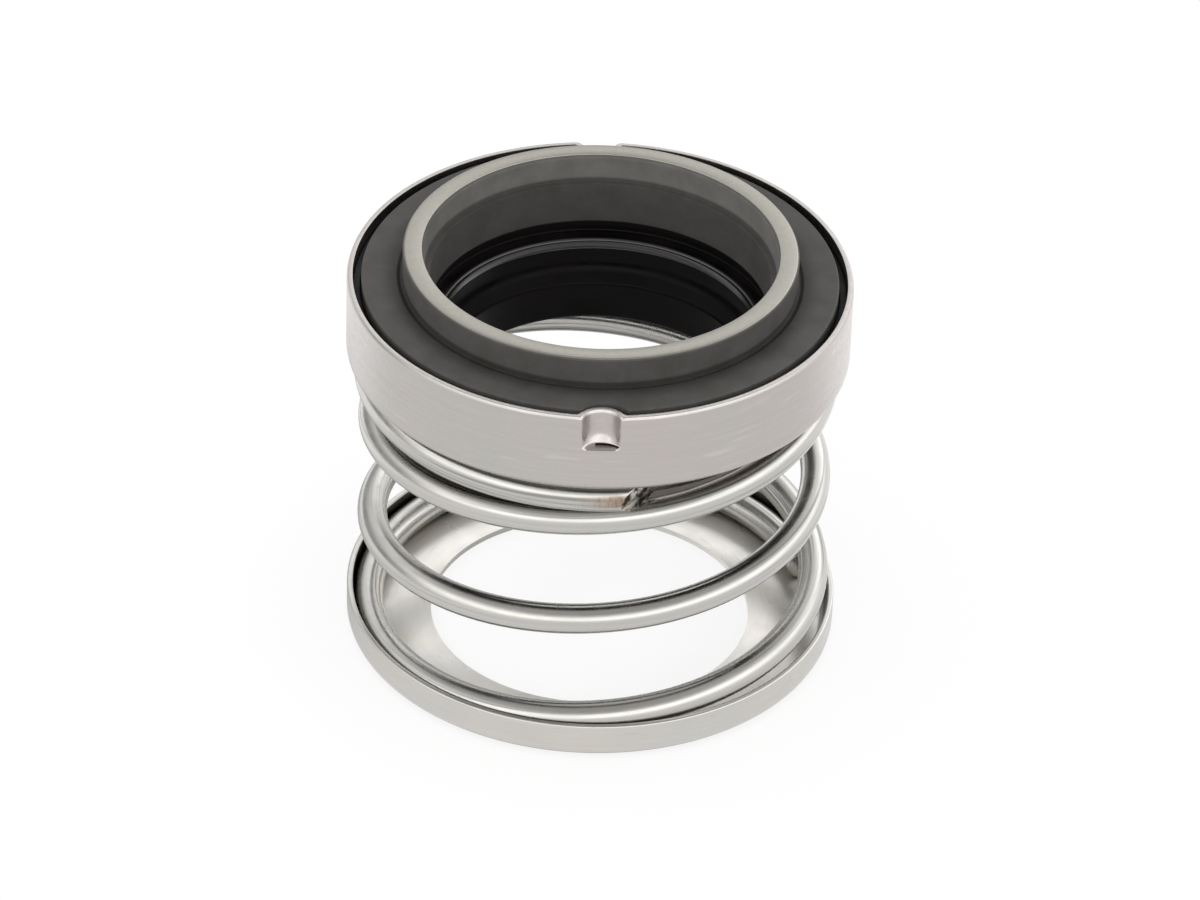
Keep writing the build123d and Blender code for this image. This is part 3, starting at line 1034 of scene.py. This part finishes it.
studioSize = {
    "ambient": 0.5,
    # sine of the elevation, and level there
    "ringLight": ((0.0, 1.0), (0.17, 1.3), (0.34, 1.95), (0.47, 2.1), (0.58, 1.75), (0.72, 0.95),
                  (0.84, 0.58), (1.0, 0.52)),
    "ringBehind": ((0.0, 0.4), (0.17, 0.4), (0.3, 0.5), (0.42, 0.9), (0.52, 1.2), (0.62, 1.2),
                   (0.74, 0.8), (0.86, 0.55), (1.0, 0.52)),
    "behind": (-0.6, 0.8, 0.0),
    "behindFrom": 0.35,
    "behindTo": 0.85,
    "ringTop": 2.2,
    "ringUneven": 0.1,
    "ringPatches": 1.3,
    "shadeCentre": (-14 * mm, 22 * mm, 0),
    "shadeFrom": 10 * mm,
    "shadeTo": 38 * mm,
    "shadeLevel": 0.35,
    "liftFrom": 0.0,
    "liftTo": 30 * mm,
    "liftLevel": 1.3,
    "floorSize": 6,
    "floorGlow": 0.8,
    "floorColour": "#808080",
    "boxDistance": 0.62,
    "boxHeight": 0.3,
    "boxAim": 20 * mm,
    "boxSize": (0.7, 0.3),
    "boxPower": {"front": 1.25, "frontRight": 1.2, "backRight": 1.1,
                 "back": 1.0, "backLeft": 1.1, "frontLeft": 1.3},
}


def buildWorld():
    s = studioSize
    world = bpy.data.worlds.new("studio")
    scene.world = world
    world.use_nodes = True
    tree = world.node_tree
    tree.nodes.clear()
    path = addNode(tree, "ShaderNodeLightPath")
    shown = addNode(tree, "ShaderNodeMath", {"operation": "MAXIMUM"},
                    links={0: path.outputs["Is Camera Ray"], 1: path.outputs["Is Transmission Ray"]})
    seen = addNode(tree, "ShaderNodeMath", {"operation": "MAXIMUM"},
                   links={0: shown.outputs[0], 1: path.outputs["Is Glossy Ray"]})
    # reflections see a soft ring of light low round the object, dimmer behind, under a grey ceiling
    place = addNode(tree, "ShaderNodeTexCoord")
    split = addNode(tree, "ShaderNodeSeparateXYZ", links={0: place.outputs["Generated"]})
    rings = []
    for levels in (s["ringLight"], s["ringBehind"]):
        ring = addNode(tree, "ShaderNodeValToRGB", links={"Fac": split.outputs[2]})
        ring.color_ramp.interpolation = "EASE"
        setStops(ring, [(height, level / s["ringTop"]) for height, level in levels])
        rings.append(ring.outputs[0])
    along = addNode(tree, "ShaderNodeVectorMath", {"operation": "DOT_PRODUCT"}, {1: s["behind"]},
                    {0: place.outputs["Generated"]})
    behind = addNode(tree, "ShaderNodeMapRange", softStep,
                     {"From Min": s["behindFrom"], "From Max": s["behindTo"]},
                     {"Value": along.outputs["Value"]})
    both = addNode(tree, "ShaderNodeMix", {"data_type": "RGBA"},
                   links={"Factor": behind.outputs[0], 6: rings[0], 7: rings[1]})
    uneven = addNode(tree, "ShaderNodeTexNoise", values={"Scale": s["ringPatches"], "Detail": 1.0},
                     links={"Vector": place.outputs["Generated"]})
    share = addNode(tree, "ShaderNodeMapRange",
                    values={"From Min": 0.35, "From Max": 0.65,
                            "To Min": s["ringTop"] * (1 - s["ringUneven"]),
                            "To Max": s["ringTop"] * (1 + s["ringUneven"])},
                    links={"Value": uneven.outputs[0]})
    lit = addNode(tree, "ShaderNodeMath", {"operation": "MULTIPLY"},
                  links={0: both.outputs[2], 1: share.outputs[0]})
    wall = addNode(tree, "ShaderNodeMix", {"data_type": "FLOAT"}, {3: 1.0},
                   {0: shown.outputs[0], 2: lit.outputs[0]})
    level = addNode(tree, "ShaderNodeMix", {"data_type": "FLOAT"}, {2: s["ambient"]},
                    {0: seen.outputs[0], 3: wall.outputs[0]})
    light = addNode(tree, "ShaderNodeBackground", values={"Color": (1, 1, 1, 1)},
                    links={"Strength": level.outputs[0]})
    addNode(tree, "ShaderNodeOutputWorld", links={"Surface": light.outputs[0]})


buildWorld()


def addSoftBoxes():
    # low softboxes stand in a ring round the object, the first in front
    s = studioSize
    for i, (name, power) in enumerate(s["boxPower"].items()):
        data = bpy.data.lights.new(name + "Box", "AREA")
        data.shape = "RECTANGLE"
        data.size, data.size_y = s["boxSize"]
        data.energy = power
        lamp = bpy.data.objects.new(name + "Box", data)
        bpy.context.scene.collection.objects.link(lamp)
        angle = math.radians(360 / len(s["boxPower"]) * i - 90)
        place = Vector((s["boxDistance"] * math.cos(angle), s["boxDistance"] * math.sin(angle),
                        s["boxHeight"]))
        aim = (Vector((0, 0, s["boxAim"])) - place).to_track_quat("-Z", "Y")
        lamp.matrix_world = Matrix.Translation(place) @ aim.to_matrix().to_4x4()
        lamp.visible_camera = False
        lamp.visible_glossy = False


addSoftBoxes()


def buildFloor():
    s = studioSize
    clearSelection()
    bpy.ops.mesh.primitive_plane_add(size=s["floorSize"], location=(0, 0, 0))
    floor = bpy.context.object
    floor.name = "floor"
    # a matt paper sweep, lit until it is as white as the wall behind
    material, tree, shader = newMaterial("paperSweep")
    shader.inputs["Base Color"].default_value = linearColour(s["floorColour"])
    shader.inputs["Roughness"].default_value = 0.9
    shader.inputs["Specular IOR Level"].default_value = 0.0
    shader.inputs["Emission Color"].default_value = (1, 1, 1, 1)
    path = addNode(tree, "ShaderNodeLightPath")
    shown = addNode(tree, "ShaderNodeMath", {"operation": "MAXIMUM"},
                    links={0: path.outputs["Is Camera Ray"], 1: path.outputs["Is Transmission Ray"]})
    # painted shadow: reflections see it darker close behind, on the side away from the key light
    place = addNode(tree, "ShaderNodeTexCoord")
    away = addNode(tree, "ShaderNodeVectorMath", {"operation": "DISTANCE"}, {1: s["shadeCentre"]},
                   {0: place.outputs["Object"]})
    shade = addNode(tree, "ShaderNodeMapRange", softStep,
                    {"From Min": s["shadeFrom"], "From Max": s["shadeTo"],
                     "To Min": s["shadeLevel"], "To Max": 1.0}, {"Value": away.outputs["Value"]})
    # and painted light: reflections see it brighter further back, standing in for the rear boxes on the
    # sweep
    split = addNode(tree, "ShaderNodeSeparateXYZ", links={0: place.outputs["Object"]})
    lift = addNode(tree, "ShaderNodeMapRange", softStep,
                   {"From Min": s["liftFrom"], "From Max": s["liftTo"],
                    "To Min": 1.0, "To Max": s["liftLevel"]}, {"Value": split.outputs[1]})
    uneven = addNode(tree, "ShaderNodeMath", {"operation": "MULTIPLY"},
                     links={0: shade.outputs[0], 1: lift.outputs[0]})
    mirrored = addNode(tree, "ShaderNodeMath", {"operation": "MULTIPLY"},
                       links={0: uneven.outputs[0], 1: path.outputs["Is Glossy Ray"]})
    seen = addNode(tree, "ShaderNodeMath", {"operation": "MAXIMUM"},
                   links={0: shown.outputs[0], 1: mirrored.outputs[0]})
    glow = addNode(tree, "ShaderNodeMath", {"operation": "MULTIPLY"}, {1: s["floorGlow"]},
                   {0: seen.outputs[0]})
    tree.links.new(glow.outputs[0], shader.inputs["Emission Strength"])
    floor.data.materials.append(material)


buildFloor()
print("studio set")
